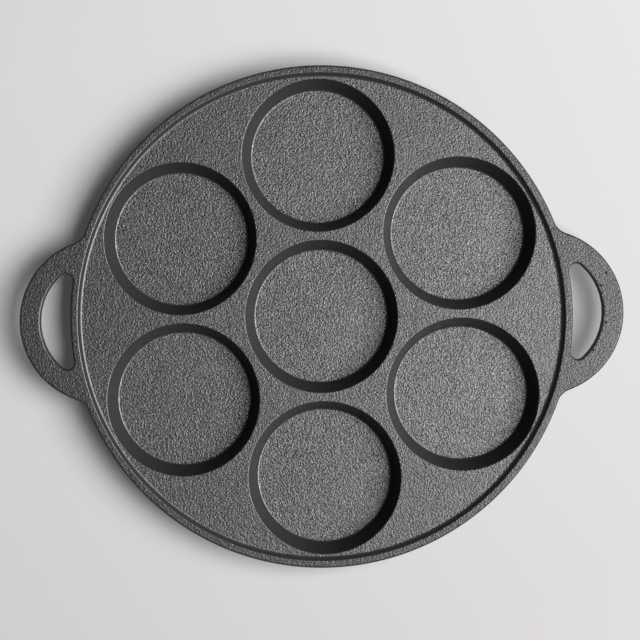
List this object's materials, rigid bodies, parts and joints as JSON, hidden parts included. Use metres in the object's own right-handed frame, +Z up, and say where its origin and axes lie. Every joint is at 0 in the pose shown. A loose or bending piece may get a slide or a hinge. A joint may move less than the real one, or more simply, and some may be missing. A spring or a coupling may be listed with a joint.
{
  "type": "seven-hole frying pan",
  "caption": "Round cast-iron frying pan with shallow flat-bottomed pockets, a low raised rim and open loop handles, for eggs or small pancakes.",
  "frame": {"origin": "centre of the round pan, on the plane that its cups stand on", "axes": "+X through the middle of one handle, +Y across the pan, +Z up out of the pockets"},
  "size_m": [0.3246, 0.27, 0.0205],
  "materials": {
    "seasoned_iron": "sand-cast, seasoned with oil, satin with a fine grain"
  },
  "bodies": {
    "root": {"pan": "seasoned_iron"}
  },
  "joints": []
}
